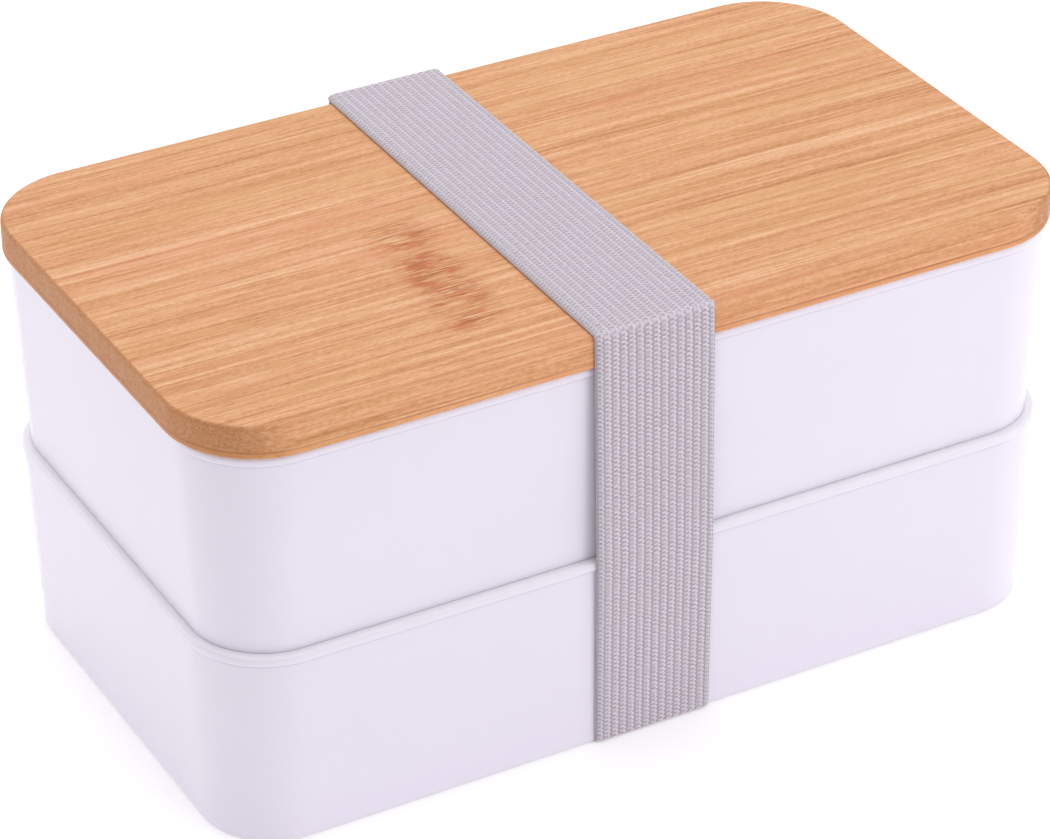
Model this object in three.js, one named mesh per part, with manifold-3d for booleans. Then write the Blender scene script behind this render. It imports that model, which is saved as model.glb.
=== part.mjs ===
// A two-tier bento lunch box: two drafted plastic boxes stacked on each other, an inner lid that
// carries the cutlery, a bamboo lid with a silicone seal, and a woven elastic band round the stack.
// Units are millimetres. +Z is up, the long side runs along X and the front faces -Y.
// The origin is on the table, under the middle of the boxes.

import * as THREE from 'three';
import { mergeVertices } from 'three/addons/utils/BufferGeometryUtils.js';
import Module from 'manifold-3d';

const wasm = await Module();
wasm.setup();

// ---- Driving dimensions -------------------------------------------------------------------

const LID = { length: 185, width: 105.9, corner: 18.6 };
const LID_BOARD = 6.6;
const LID_ROUND = 0.9;
const TONGUE_DEPTH = 3.6;

const RIM = { length: 182.8, width: 104.4, corner: 16.9 };
const LOWER_HEIGHT = 41.8;
const UPPER_HEIGHT = 42.2;
const WALL = 2.6;
const FLOOR = 2;
const DRAFT = 1.8;
const BASE_ROUND = 0.5;
const FLOOR_ROUND = 5;
const FOOT_WIDTH = 6;
const FOOT_DEPTH = 0.6;
const BEAD_HEIGHT = 2;
const BEAD_STEP = 0.35;
const BEAD_ROUND = 0.9;
const LEDGE_WIDTH = 0.9;
const LEDGE_DEPTH = 2.1;

const FLANGE = 1.6;
const TUB_DEPTH = 9.5;
const TUB_WALL = 1.5;
const TUB_ROUND = 2.5;

// How far each seal layer stands in from the rim's outline.
const SKIRT_INSET = WALL + 1;
const GROOVE_INSET = WALL + 2.2;
const SEAL_INNER_INSET = WALL + 1.9;
const SEAL_OUTER_INSET = WALL + 0.55;
const SEAL_HEIGHT = 1.8;
const SEAL_LIP = 0.35;

const DIVIDER_THICK = 1.6;
const DIVIDER_X = 30;
const DIVIDER_ROUND = 6;
const NOTCH_RADIUS = 14;
const NOTCH_DEPTH = 5;

const BAND_WIDTH = 24.8;
const BAND_THICK = 1;
const BAND_PRESSED = 0.35;
const BAND_X = -3.45;
const BAND_LEAN = 1.75;
const BAND_SKEW = 0.4;
const LAP_LENGTH = 15;
const LAP_MIDDLE_Z = 22;
const THREAD_RADIUS = 0.25;
const STITCH_PITCH = 2;
const STITCH_HEIGHT = 3.2;
const STITCH_MARGIN = 1.6;

const CUTLERY_LENGTH = 150;
const CUTLERY_THICK = 2;
const CUTLERY_PITCH = 27;
const CUTLERY_STEPS = 36;
const HANDLE_HALF = 5.5;
const HANDLE_ROUND = 0.05;
const NECK_HALF = 3;
const TINE_PITCH = 5.6;
const SLOT_HALF = 1.3;
const SLOT_START_X = 40;

const GAP = 0.3;
const TOUCH = 0.1;
const CORNER_STEPS = 8;
const ARC_STEPS = 4;
const CURVE_SEGMENTS = 6;
const THREAD_SEGMENTS = 5;
const THREAD_STEPS = 4;
const WELD_DISTANCE = 1e-4;
const SMALLEST_CORNER = 0.5;

// ---- Heights worked out from them ---------------------------------------------------------

const LOWER_BASE = BAND_PRESSED + TOUCH;
const LOWER_TOP = LOWER_BASE + LOWER_HEIGHT;
const UPPER_BASE = LOWER_TOP + TOUCH;
const UPPER_TOP = UPPER_BASE + UPPER_HEIGHT;
const LID_BASE = UPPER_TOP + TOUCH;
const LID_TOP = LID_BASE + LID_BOARD;
const FLANGE_TOP = LOWER_TOP - TOUCH;
const FLANGE_BASE = FLANGE_TOP - FLANGE;
const TUB_FLOOR = FLANGE_TOP - TUB_DEPTH;

// ---- Materials ----------------------------------------------------------------------------

const finish = (color, roughness) => new THREE.MeshStandardMaterial({ color, roughness, metalness: 0 });
const materials = {
  bamboo: finish('#dca279', 0.5),
  plastic: finish('#ece6f5', 0.3),
  innerPlastic: finish('#e6e3ea', 0.4),
  silicone: finish('#e9e9ec', 0.6),
  webbing: finish('#c4bac3', 0.9),
  thread: finish('#b3aab2', 0.8),
  cutlery: finish('#d8d3dd', 0.45),
};

// ---- Rings: closed outlines that follow a rounded rectangle ---------------------------------

// One level outline, drawn `inset` inside a rounded rectangle, counter-clockwise from +X.
function ring(outline, inset, z) {
  const radius = Math.max(outline.corner - inset, SMALLEST_CORNER);
  const middleX = outline.length / 2 - inset - radius;
  const middleY = outline.width / 2 - inset - radius;
  const quadrants = [[1, 1], [-1, 1], [-1, -1], [1, -1]];
  return quadrants.flatMap(([signX, signY], quadrant) => {
    const points = [];
    for (let step = 0; step <= CORNER_STEPS; step += 1) {
      const angle = (quadrant + step / CORNER_STEPS) * Math.PI / 2;
      const x = signX * middleX + radius * Math.cos(angle);
      const y = signY * middleY + radius * Math.sin(angle);
      points.push(new THREE.Vector3(x, y, z));
    }
    return points;
  });
}

// A geometry from shared points and triangles that index them.
function geometryFrom(points, triangles) {
  const geometry = new THREE.BufferGeometry().setFromPoints(points);
  geometry.setIndex(triangles);
  geometry.computeVertexNormals();
  return geometry;
}

// A solid skinned over rings of equal length. A closed skin joins the last ring to the first,
// and an open one is capped at both ends with fans.
function skin(rings, closed = false) {
  const count = rings[0].length;
  const points = rings.flat();
  const triangles = [];
  const spans = closed ? rings.length : rings.length - 1;
  for (let level = 0; level < spans; level += 1) {
    const low = level * count;
    const high = ((level + 1) % rings.length) * count;
    for (let i = 0; i < count; i += 1) {
      const next = (i + 1) % count;
      triangles.push(low + i, low + next, high + next, low + i, high + next, high + i);
    }
  }
  if (!closed) {
    const last = (rings.length - 1) * count;
    for (let i = 1; i < count - 1; i += 1) {
      triangles.push(0, i + 1, i, last, last + i, last + i + 1);
    }
  }
  return geometryFrom(points, triangles);
}

// [inset, z] pairs round a quarter circle, from one angle to another, in the profile's plane.
// Angle 0 points away from the middle of the box and 90 degrees points up.
function arc(inset, z, radius, from, to) {
  const pairs = [];
  for (let step = 0; step <= ARC_STEPS; step += 1) {
    const angle = THREE.MathUtils.degToRad(from + (to - from) * step / ARC_STEPS);
    pairs.push([inset - radius * Math.cos(angle), z + radius * Math.sin(angle)]);
  }
  return pairs;
}

const rings = (outline, profile) => profile.map(([inset, z]) => ring(outline, inset, z));

// ---- Bamboo lid ---------------------------------------------------------------------------

function lidBoard() {
  const tongue = [
    [SKIRT_INSET, LID_BASE - TONGUE_DEPTH],
    [SKIRT_INSET, LID_BASE - SEAL_HEIGHT - 2 * GAP],
    [GROOVE_INSET, LID_BASE - SEAL_HEIGHT - 2 * GAP],
    [GROOVE_INSET, LID_BASE],
  ];
  const board = [
    [LID_ROUND / 2, LID_BASE],
    [0, LID_BASE + LID_ROUND / 2],
    ...arc(LID_ROUND, LID_TOP - LID_ROUND, LID_ROUND, 0, 90),
  ];
  return skin([...rings(RIM, tongue), ...rings(LID, board)]);
}

// A soft ring with a lip along its outer top and bottom edges.
function seal(baseZ) {
  const topZ = baseZ + SEAL_HEIGHT;
  const middleZ = (baseZ + topZ) / 2;
  const profile = [
    [SEAL_INNER_INSET, baseZ],
    [SEAL_OUTER_INSET + SEAL_LIP, baseZ],
    [SEAL_OUTER_INSET, baseZ + SEAL_LIP],
    [SEAL_OUTER_INSET + SEAL_LIP, middleZ],
    [SEAL_OUTER_INSET, topZ - SEAL_LIP],
    [SEAL_OUTER_INSET + SEAL_LIP, topZ],
    [SEAL_INNER_INSET, topZ],
  ];
  return skin(rings(RIM, profile), true);
}

// ---- Boxes --------------------------------------------------------------------------------

// How far the outer wall stands in from the rim's outline at a height above the box's base.
const wallInset = (above, height) => DRAFT + (BEAD_STEP - DRAFT) * above / height;

// A box from its foot up over the rim and down to its floor. A ledge inside the rim seats a lid.
function box(baseZ, height, ledge) {
  const topZ = baseZ + height;
  const floorZ = baseZ + FOOT_DEPTH + FLOOR;
  const footInset = DRAFT + FOOT_WIDTH;
  const beadZ = topZ - BEAD_HEIGHT;
  const seat = [
    [WALL - LEDGE_WIDTH, topZ],
    [WALL - LEDGE_WIDTH, topZ - LEDGE_DEPTH],
    [WALL, topZ - LEDGE_DEPTH],
  ];
  const mouth = ledge ? seat : arc(WALL - BEAD_STEP, topZ - BEAD_STEP, BEAD_STEP, 90, 180);
  const profile = [
    [footInset + FOOT_DEPTH, baseZ + FOOT_DEPTH],
    [footInset, baseZ],
    ...arc(DRAFT + BASE_ROUND, baseZ + BASE_ROUND, BASE_ROUND, -90, 0),
    [wallInset(height - BEAD_HEIGHT, height), beadZ - BEAD_STEP],
    [0, beadZ],
    ...arc(BEAD_ROUND, topZ - BEAD_ROUND, BEAD_ROUND, 0, 90),
    ...mouth,
    ...arc(DRAFT + WALL + FLOOR_ROUND, floorZ + FLOOR_ROUND, FLOOR_ROUND, 0, -90),
  ];
  return skin(rings(RIM, profile));
}

// ---- Middle lid: a flange with a tub for the cutlery ----------------------------------------

function middleLid() {
  const baseZ = TUB_FLOOR - TUB_WALL;
  const grooveZ = FLANGE_BASE - SEAL_HEIGHT - 2 * GAP;
  const flangeInset = WALL - LEDGE_WIDTH + GAP;
  const tubInset = GROOVE_INSET + TUB_WALL;
  const profile = [
    ...arc(SKIRT_INSET + TUB_ROUND, baseZ + TUB_ROUND, TUB_ROUND, -90, 0),
    [SKIRT_INSET, grooveZ],
    [GROOVE_INSET, grooveZ],
    [GROOVE_INSET, FLANGE_BASE],
    [flangeInset, FLANGE_BASE],
    [flangeInset, FLANGE_TOP],
    [tubInset, FLANGE_TOP],
    ...arc(tubInset + TUB_ROUND, TUB_FLOOR + TUB_ROUND, TUB_ROUND, 0, -90),
  ];
  return skin(rings(RIM, profile));
}

// ---- Pieces cut from an outline in the Y-Z plane and run along X ------------------------------

function alongX(shape, startX, depth) {
  const yzx = new THREE.Matrix4().makeBasis(
    new THREE.Vector3(0, 1, 0),
    new THREE.Vector3(0, 0, 1),
    new THREE.Vector3(1, 0, 0),
  );
  const settings = { depth, bevelEnabled: false, curveSegments: CURVE_SEGMENTS };
  const geometry = new THREE.ExtrudeGeometry(shape, settings);
  return geometry.applyMatrix4(yzx).translate(startX, 0, 0);
}

// A loose plate across the upper box, with rounded feet and a finger notch in its top edge.
function divider() {
  const baseZ = UPPER_BASE + FOOT_DEPTH + FLOOR + GAP;
  const topZ = LID_BASE - TONGUE_DEPTH - 2 * GAP;
  const topHalf = RIM.width / 2 - WALL - 2 * GAP;
  const baseHalf = topHalf - DRAFT;
  const notchZ = topZ + NOTCH_RADIUS - NOTCH_DEPTH;
  const notchAngle = Math.asin((NOTCH_RADIUS - NOTCH_DEPTH) / NOTCH_RADIUS);
  const plate = new THREE.Shape();
  plate.absarc(baseHalf - DIVIDER_ROUND, baseZ + DIVIDER_ROUND, DIVIDER_ROUND, -Math.PI / 2, 0);
  plate.lineTo(topHalf, topZ);
  plate.absarc(0, notchZ, NOTCH_RADIUS, -notchAngle, notchAngle - Math.PI, true);
  plate.lineTo(-topHalf, topZ);
  plate.absarc(DIVIDER_ROUND - baseHalf, baseZ + DIVIDER_ROUND, DIVIDER_ROUND, Math.PI, 1.5 * Math.PI);
  return alongX(plate, DIVIDER_X - DIVIDER_THICK / 2, DIVIDER_THICK);
}

// ---- Elastic band -------------------------------------------------------------------------

const BASE_CORNER_Y = RIM.width / 2 - DRAFT - BASE_ROUND;
const BASE_CORNER_Z = LOWER_BASE + BASE_ROUND;
const LOWER_BEAD_Z = LOWER_TOP - BEAD_HEIGHT;

// How far the stretched band stands from the middle plane beside the lower box's wall.
function bandSide(z, offset) {
  const along = (z - BASE_CORNER_Z) / (LOWER_BEAD_Z - BASE_CORNER_Z);
  return THREE.MathUtils.lerp(RIM.width / 2 - DRAFT, RIM.width / 2, along) + offset;
}

// The path of one face of the band round the stack: `offset` off it at the sides and the top, and
// `pressed` off it under the box. `lapThick` adds the sewn overlap on the rear side.
function bandPath(path, offset, pressed, lapThick = 0) {
  const lidY = LID.width / 2 - LID_ROUND;
  const lidZ = LID_TOP - LID_ROUND;
  const rimY = RIM.width / 2 + offset;
  const edgeY = LID.width / 2 + offset;
  path.absarc(BASE_CORNER_Y, BASE_CORNER_Z, BASE_ROUND + pressed, -Math.PI / 2, 0);
  if (lapThick > 0) {
    for (const [end, thick] of [[-1, 0], [-1, lapThick], [1, lapThick], [1, 0]]) {
      const z = LAP_MIDDLE_Z + end * LAP_LENGTH / 2;
      path.lineTo(bandSide(z, offset) + thick, z);
    }
  }
  path.lineTo(rimY, LOWER_BEAD_Z);
  path.lineTo(rimY, LOWER_TOP);
  path.lineTo(edgeY, LID_BASE + LID_ROUND);
  path.absarc(lidY, lidZ, LID_ROUND + offset, 0, Math.PI / 2);
  path.absarc(-lidY, lidZ, LID_ROUND + offset, Math.PI / 2, Math.PI);
  path.lineTo(-edgeY, LID_BASE + LID_ROUND);
  path.lineTo(-rimY, LOWER_TOP);
  path.lineTo(-rimY, LOWER_BEAD_Z);
  path.absarc(-BASE_CORNER_Y, BASE_CORNER_Z, BASE_ROUND + pressed, Math.PI, 1.5 * Math.PI);
  return path;
}

// The band sits a little askew: its top strip runs towards -X as it comes forward, and its front
// strip leans towards +X from the lid down to the base.
function band() {
  const loop = bandPath(new THREE.Shape(), TOUCH + BAND_THICK, TOUCH + BAND_PRESSED, BAND_THICK);
  loop.holes.push(bandPath(new THREE.Path(), TOUCH, TOUCH));
  const geometry = alongX(loop, BAND_X - BAND_WIDTH / 2, BAND_WIDTH);
  const places = geometry.getAttribute('position');
  for (let i = 0; i < places.count; i += 1) {
    const up = places.getZ(i) / LID_TOP;
    const back = places.getY(i) / LID.width;
    const shift = BAND_LEAN * (1 - up) * (0.5 - back) + BAND_SKEW * up * back;
    places.setX(i, places.getX(i) + shift);
  }
  return geometry;
}

// A zigzag thread lying on the overlap, across the band.
function stitching(middleZ) {
  const run = BAND_WIDTH - 2 * STITCH_MARGIN;
  const turns = Math.round(run / STITCH_PITCH);
  const points = [];
  for (let turn = 0; turn <= turns; turn += 1) {
    const z = middleZ + (turn % 2 === 0 ? 1 : -1) * STITCH_HEIGHT / 2;
    const y = bandSide(z, 2 * TOUCH + 2 * BAND_THICK + THREAD_RADIUS);
    points.push(new THREE.Vector3(BAND_X + (turn / turns - 0.5) * run, y, z));
  }
  const section = new THREE.Shape().absarc(0, 0, THREAD_RADIUS, 0, 2 * Math.PI);
  return new THREE.ExtrudeGeometry(section, {
    extrudePath: new THREE.CatmullRomCurve3(points),
    steps: THREAD_STEPS * turns,
    curveSegments: THREAD_SEGMENTS,
  });
}

// ---- Cutlery ------------------------------------------------------------------------------

// What sets one utensil apart from another: its head's half width, the head's middle and reach as
// shares of the length, how square and how deeply dished the head is, and the share of the
// thickness that is left along its lower edge.
const UTENSILS = {
  spoon: { headHalf: 16.5, middle: 0.84, reach: 0.16, power: 2, dish: 4, edge: 1 },
  fork: { headHalf: 12, middle: 0.84, reach: 0.16, power: 3.4, dish: 3, edge: 1 },
  knife: { headHalf: 8.5, middle: 0.72, reach: 0.28, power: 3, dish: 0, edge: 0.4 },
};

// How full a rounded end is, from 0 at its limits to 1 in its middle. A higher power is squarer.
function fullness(along, middle, reach, power) {
  const away = Math.min(Math.abs(along - middle) / reach, 1);
  return (1 - away ** power) ** (1 / power);
}

// A utensil lying along X, skinned over sections set across it. `along` runs from 0 at the
// handle's end to 1 at the tip, and `across` from -1 to 1.
function utensil({ headHalf, middle, reach, power, dish, edge }, y) {
  const { lerp, smoothstep } = THREE.MathUtils;
  const sections = [];
  for (let step = 0; step <= CUTLERY_STEPS; step += 1) {
    const along = (1 - Math.cos(Math.PI * step / CUTLERY_STEPS)) / 2;
    const handleEnd = fullness(Math.min(along, HANDLE_ROUND), HANDLE_ROUND, HANDLE_ROUND, 2);
    const handleHalf = lerp(HANDLE_HALF, NECK_HALF, along) * handleEnd;
    const head = fullness(along, middle, reach, power);
    const half = Math.max(handleHalf, headHalf * head, SMALLEST_CORNER);
    const middleZ = TUB_FLOOR + GAP + CUTLERY_THICK / 2 + dish * smoothstep(along, 0, 0.5);
    const place = (across, side) => {
      const sag = dish * fullness(along, middle, reach, 2) ** 2 * (1 - across ** 2);
      const thickness = CUTLERY_THICK * lerp(1, edge, head * Math.max(-across, 0));
      const z = middleZ - sag + side * thickness / 2;
      return new THREE.Vector3((along - 0.5) * CUTLERY_LENGTH, y + across * half, z);
    };
    const spread = [-1, -0.5, 0, 0.5, 1];
    const under = spread.map((across) => place(across, -1));
    const over = spread.map((across) => place(across, 1)).reverse();
    sections.push([...under, ...over]);
  }
  return skin(sections);
}

// A closed geometry as a manifold solid, and back again.
function toSolid(geometry) {
  const bare = geometry.clone();
  bare.deleteAttribute('normal');
  bare.deleteAttribute('uv');
  const merged = mergeVertices(bare, WELD_DISTANCE);
  const vertProperties = new Float32Array(merged.getAttribute('position').array);
  const triVerts = new Uint32Array(merged.index.array);
  return new wasm.Manifold(new wasm.Mesh({ numProp: 3, vertProperties, triVerts }));
}

function fromSolid(solid) {
  const { vertProperties, triVerts } = solid.getMesh();
  const geometry = new THREE.BufferGeometry();
  geometry.setAttribute('position', new THREE.BufferAttribute(vertProperties, 3));
  geometry.setIndex(new THREE.BufferAttribute(triVerts, 1));
  geometry.computeVertexNormals();
  return geometry;
}

// The fork's tines are what is left between round-ended slots.
function fork(y) {
  let solid = toSolid(utensil(UTENSILS.fork, y));
  for (const place of [-1, 0, 1]) {
    const slotY = y + place * TINE_PITCH;
    const slot = new THREE.Shape();
    slot.absarc(SLOT_START_X, slotY, SLOT_HALF, Math.PI / 2, 1.5 * Math.PI);
    slot.lineTo(CUTLERY_LENGTH, slotY - SLOT_HALF);
    slot.lineTo(CUTLERY_LENGTH, slotY + SLOT_HALF);
    const settings = { depth: TUB_DEPTH, bevelEnabled: false, curveSegments: CURVE_SEGMENTS };
    const cutter = new THREE.ExtrudeGeometry(slot, settings).translate(0, 0, TUB_FLOOR);
    solid = solid.subtract(toSolid(cutter));
  }
  return fromSolid(solid);
}

// ---- Assembly -----------------------------------------------------------------------------

const lunchBox = new THREE.Group();

function add(name, geometry, material) {
  const mesh = new THREE.Mesh(geometry, material);
  mesh.name = name;
  lunchBox.add(mesh);
}

add('bamboo_lid', lidBoard(), materials.bamboo);
add('lid_seal', seal(LID_BASE - GAP - SEAL_HEIGHT), materials.silicone);
add('upper_box', box(UPPER_BASE, UPPER_HEIGHT, false), materials.plastic);
add('upper_divider', divider(), materials.innerPlastic);
add('middle_lid', middleLid(), materials.innerPlastic);
add('middle_lid_seal', seal(FLANGE_BASE - GAP - SEAL_HEIGHT), materials.silicone);
add('lower_box', box(LOWER_BASE, LOWER_HEIGHT, true), materials.plastic);
add('elastic_band', band(), materials.webbing);
add('band_stitch_upper', stitching(LAP_MIDDLE_Z + LAP_LENGTH / 4), materials.thread);
add('band_stitch_lower', stitching(LAP_MIDDLE_Z - LAP_LENGTH / 4), materials.thread);
add('spoon', utensil(UTENSILS.spoon, CUTLERY_PITCH), materials.cutlery);
add('knife', utensil(UTENSILS.knife, 0), materials.cutlery);
add('fork', fork(-CUTLERY_PITCH), materials.cutlery);

export default lunchBox;
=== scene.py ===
import math

import bpy
import numpy as np
from mathutils import Matrix, Vector


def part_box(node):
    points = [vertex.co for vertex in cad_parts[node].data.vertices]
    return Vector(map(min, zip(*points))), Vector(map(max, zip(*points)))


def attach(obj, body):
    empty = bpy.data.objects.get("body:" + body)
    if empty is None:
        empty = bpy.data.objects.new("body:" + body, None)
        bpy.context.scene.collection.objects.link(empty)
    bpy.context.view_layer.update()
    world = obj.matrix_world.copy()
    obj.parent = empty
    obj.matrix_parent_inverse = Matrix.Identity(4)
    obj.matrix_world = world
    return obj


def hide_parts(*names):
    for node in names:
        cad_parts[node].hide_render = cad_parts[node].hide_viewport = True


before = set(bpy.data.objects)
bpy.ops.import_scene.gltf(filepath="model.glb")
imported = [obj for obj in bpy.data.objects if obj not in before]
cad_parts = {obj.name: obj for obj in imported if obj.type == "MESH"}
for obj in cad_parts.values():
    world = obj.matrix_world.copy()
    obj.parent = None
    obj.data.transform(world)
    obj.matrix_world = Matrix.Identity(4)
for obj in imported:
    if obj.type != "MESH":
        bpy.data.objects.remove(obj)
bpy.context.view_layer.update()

# A two-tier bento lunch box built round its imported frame: a bamboo lid, two moulded boxes, the
# inner lid, seals, divider and cutlery, and the knitted elastic band that holds the stack.
# Blender units are metres. Sizes below are in metres too, written as millimetres times MM.

MM = 0.001

# ---- Sizes ----------------------------------------------------------------------------------


def outline(node, corner):
    """A rounded rectangle as long and as wide as a CAD node: (length, width, corner radius)."""
    low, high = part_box(node)
    return high.x - low.x, high.y - low.y, corner


def bottom(node):
    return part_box(node)[0].z


def top(node):
    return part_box(node)[1].z


# The outlines of the bamboo lid and of the boxes' rims.
LID = outline("bamboo_lid", 18.6 * MM)
RIM = outline("upper_box", 16.9 * MM)

# TOUCH parts pieces that rest on one another, and GAP parts pieces that fit loosely.
TOUCH = 0.1 * MM
GAP = 0.3 * MM

# The bamboo lid's board, and how far its upper and lower edges are rounded.
LID_ROUND = 0.9 * MM
LID_UNDER_ROUND = 0.5 * MM
LID_BASE = top("upper_box") + TOUCH
LID_TOP = top("bamboo_lid")

# The two boxes. An inset is measured in from a rim's outline.
WALL = 2.6 * MM
FLOOR = 2.0 * MM
DRAFT = 1.8 * MM
BASE_ROUND = 0.5 * MM
FLOOR_ROUND = 5.0 * MM
FOOT_WIDTH = 6.0 * MM
FOOT_DEPTH = 0.6 * MM
BEAD_HEIGHT = 2.0 * MM
BEAD_STEP = 0.35 * MM
BEAD_ROUND = 0.9 * MM
BEAD_SWELL = 0.6 * MM
SOLE_ROUND = 0.12 * MM
SETTLED = 0.07 * MM
LEDGE_WIDTH = 0.45 * MM
LEDGE_DEPTH = 2.1 * MM

# The parts of the lids that reach down into a box, with the seals' grooves and the cutlery tub.
SKIRT_INSET = WALL + 1.0 * MM
GROOVE_INSET = WALL + 2.2 * MM
SEAL_INNER_INSET = WALL + 1.9 * MM
SEAL_OUTER_INSET = WALL + 0.55 * MM
FLANGE = 1.6 * MM
TUB_WALL = 1.5 * MM
TUB_ROUND = 2.5 * MM
EDGE_ROUND = 0.3 * MM

CORNER_STEPS = 20
ARC_STEPS = 5
SMALLEST_CORNER = 0.5 * MM

# ---- Meshes ---------------------------------------------------------------------------------


def smooth(value):
    """Rises smoothly from 0 to 1 as a number or an array goes from 0 to 1."""
    value = np.clip(value, 0, 1)
    return value * value * (3 - 2 * value)


def mesh_object(name, points, faces, sharp_angle=35):
    """A smooth-shaded object at the origin, with edges kept sharp beyond an angle in degrees."""
    mesh = bpy.data.meshes.new(name)
    mesh.from_pydata([tuple(point) for point in points], [], faces)
    mesh.shade_smooth()
    mesh.set_sharp_from_angle(angle=math.radians(sharp_angle))
    piece = bpy.data.objects.new(name, mesh)
    bpy.context.collection.objects.link(piece)
    return piece


def even_shading(piece):
    """Keeps large flat faces flat beside small rounded edges."""
    modifier = piece.modifiers.new("even shading", "WEIGHTED_NORMAL")
    modifier.keep_sharp = True
    return piece


def ring(shape, inset, z):
    """A level outline drawn `inset` inside a rounded rectangle, counter-clockwise from +X."""
    length, width, corner = shape
    radius = max(corner - inset, SMALLEST_CORNER)
    middle_x = length / 2 - inset - radius
    middle_y = width / 2 - inset - radius
    points = []
    for quadrant, (sign_x, sign_y) in enumerate([(1, 1), (-1, 1), (-1, -1), (1, -1)]):
        for step in range(CORNER_STEPS + 1):
            angle = (quadrant + step / CORNER_STEPS) * math.pi / 2
            x = sign_x * middle_x + radius * math.cos(angle)
            y = sign_y * middle_y + radius * math.sin(angle)
            points.append((x, y, z))
    return points


def skin(name, rings, closed=False):
    """A solid over rings of equal length: joined end to end if closed, else capped at both ends."""
    count = len(rings[0])
    points = [point for one in rings for point in one]
    faces = []
    for level in range(len(rings) if closed else len(rings) - 1):
        low = level * count
        high = (level + 1) % len(rings) * count
        for i in range(count):
            after = (i + 1) % count
            faces.append((low + i, low + after, high + after, high + i))
    if not closed:
        faces.append(tuple(reversed(range(count))))
        faces.append(tuple(range(len(points) - count, len(points))))
    return mesh_object(name, points, faces)


def arc(inset, z, radius, start, end):
    """(inset, z) pairs round part of a circle. 0 degrees points outwards and 90 points up."""
    pairs = []
    for step in range(ARC_STEPS + 1):
        angle = math.radians(start + (end - start) * step / ARC_STEPS)
        pairs.append((inset - radius * math.cos(angle), z + radius * math.sin(angle)))
    return pairs


def rings(shape, profile):
    return [ring(shape, inset, z) for inset, z in profile]


def place(piece, node, body, material):
    """Puts a finished piece in the place of a CAD node, on its body and in its finish."""
    piece.data.materials.clear()
    piece.data.materials.append(material)
    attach(piece, body)
    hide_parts(node)
    return piece


# ---- Materials ------------------------------------------------------------------------------


def srgb(red, green, blue):
    """A colour given as 0 to 255 screen values, as the linear colour that shaders take."""
    linear = [
        value / 255 / 12.92 if value <= 10 else ((value / 255 + 0.055) / 1.055) ** 2.4
        for value in (red, green, blue)
    ]
    return (*linear, 1.0)


class Shader:
    """A node material being wired up. Its methods return sockets that feed one another."""

    def __init__(self, name, **surface):
        self.material = bpy.data.materials.new(name)
        self.material.use_nodes = True
        self.tree = self.material.node_tree
        self.surface = self.tree.nodes["Principled BSDF"]
        coordinates = self.tree.nodes.new("ShaderNodeTexCoord")
        self.normal = coordinates.outputs["Normal"]
        # Every piece's origin is the frame's, so this is a point's place in millimetres at rest.
        inputs = {0: coordinates.outputs["Object"], "Scale": 1 / MM}
        self.place = self.add("ShaderNodeVectorMath", inputs, operation="SCALE").outputs[0]
        self.set(**surface)

    def add(self, kind, inputs, **settings):
        node = self.tree.nodes.new(kind)
        for key, value in settings.items():
            setattr(node, key, value)
        for key, value in inputs.items():
            self.feed(node.inputs[key], value)
        return node

    def feed(self, socket, value):
        if isinstance(value, bpy.types.NodeSocket):
            self.tree.links.new(value, socket)
        else:
            socket.default_value = value

    def set(self, **surface):
        """Sets inputs of the surface by name, with underscores for spaces."""
        for key, value in surface.items():
            self.feed(self.surface.inputs[key.replace("_", " ")], value)

    def maths(self, operation, first, second=0.0, clamp=False):
        inputs = {0: first, 1: second}
        return self.add("ShaderNodeMath", inputs, operation=operation, use_clamp=clamp).outputs[0]

    def band(self, value, low, high):
        """Rises smoothly from 0 at `low` to 1 at `high`, or falls if low is above high."""
        bottom_end, top_end = (0.0, 1.0) if low < high else (1.0, 0.0)
        inputs = {"Value": value, "From Min": min(low, high), "From Max": max(low, high),
                  "To Min": bottom_end, "To Max": top_end}
        return self.add("ShaderNodeMapRange", inputs, interpolation_type="SMOOTHSTEP").outputs[0]

    def stretched(self, x, y, z, vector=None):
        """Coordinates in which a pattern of unit size comes out x by y by z millimetres."""
        scale = (1 / x, 1 / y, 1 / z)
        inputs = {0: vector or self.place, 1: scale}
        return self.add("ShaderNodeVectorMath", inputs, operation="MULTIPLY").outputs[0]

    def noise(self, vector, detail=2.0, roughness=0.5):
        inputs = {"Vector": vector, "Scale": 1.0, "Detail": detail, "Roughness": roughness}
        return self.add("ShaderNodeTexNoise", inputs).outputs["Fac"]

    def mix(self, factor, first, second, blend="MIX"):
        inputs = {0: factor, 6: first, 7: second}
        node = self.add("ShaderNodeMix", inputs, data_type="RGBA", blend_type=blend)
        return node.outputs[2]

    def ramp(self, factor, *stops):
        """A colour ramp through (position, colour) stops."""
        node = self.add("ShaderNodeValToRGB", {"Fac": factor})
        elements = node.color_ramp.elements
        while len(elements) < len(stops):
            elements.new(0.5)
        for element, (position, colour) in zip(elements, stops):
            element.position = position
            element.color = colour
        return node.outputs["Color"]

    def split(self, vector):
        return self.add("ShaderNodeSeparateXYZ", {0: vector}).outputs

    def attribute(self, name):
        return self.add("ShaderNodeAttribute", {}, attribute_name=name).outputs["Fac"]

    def bump(self, height, distance, normal=None):
        """A bump `distance` deep, in metres, on top of an earlier one if given."""
        inputs = {"Height": height, "Distance": distance}
        if normal:
            inputs["Normal"] = normal
        return self.add("ShaderNodeBump", inputs).outputs[0]


# The bamboo's fibre patterns: how long and how wide each is in millimetres, and how strongly it
# shows. The long ones run down the board, and the short ones are pores that break them up.
FIBRES = [
    (220, 7.0, 0.14),
    (200, 2.6, 0.32),
    (110, 1.1, 0.38),
    (55, 0.45, 0.40),
    (16, 0.5, 0.34),
    (9, 1.6, 0.05),
    (2.6, 0.5, 0.26),
    (1.1, 0.4, 0.3),
]
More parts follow.
